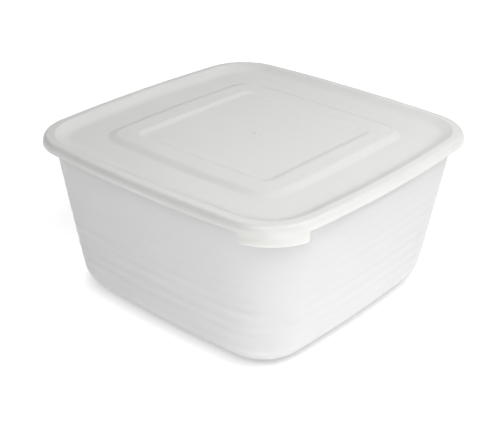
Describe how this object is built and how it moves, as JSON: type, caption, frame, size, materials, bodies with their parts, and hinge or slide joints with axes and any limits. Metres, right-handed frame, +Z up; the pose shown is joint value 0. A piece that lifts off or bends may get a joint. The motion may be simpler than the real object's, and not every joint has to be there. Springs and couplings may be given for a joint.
{
  "type": "square food storage container",
  "caption": "Square tapered plastic food tub with rounded corners and shallow ribs, closed by a press-on lid with a sunk panel, a raised square plateau and a corner lifting tab.",
  "frame": {"origin": "middle of the tub's underside, on the surface that the container stands on", "axes": "+Z up towards the lid, +X and +Y square to two neighbouring sides, with the lifting tab at the +X, -Y corner"},
  "size_m": [0.2, 0.2, 0.0993],
  "materials": {
    "tub_plastic": "satin translucent white polypropylene, neutral",
    "lid_plastic": "satin translucent white polypropylene, a touch warmer than the tub"
  },
  "bodies": {
    "tub": {"tub": "tub_plastic"},
    "lid": {"lid": "lid_plastic"}
  },
  "joints": [
    {"name": "lid_lift", "type": "slide", "parent": "tub", "child": "lid", "axis": [0, 0, 1], "range_m": [0, 0.08]}
  ]
}
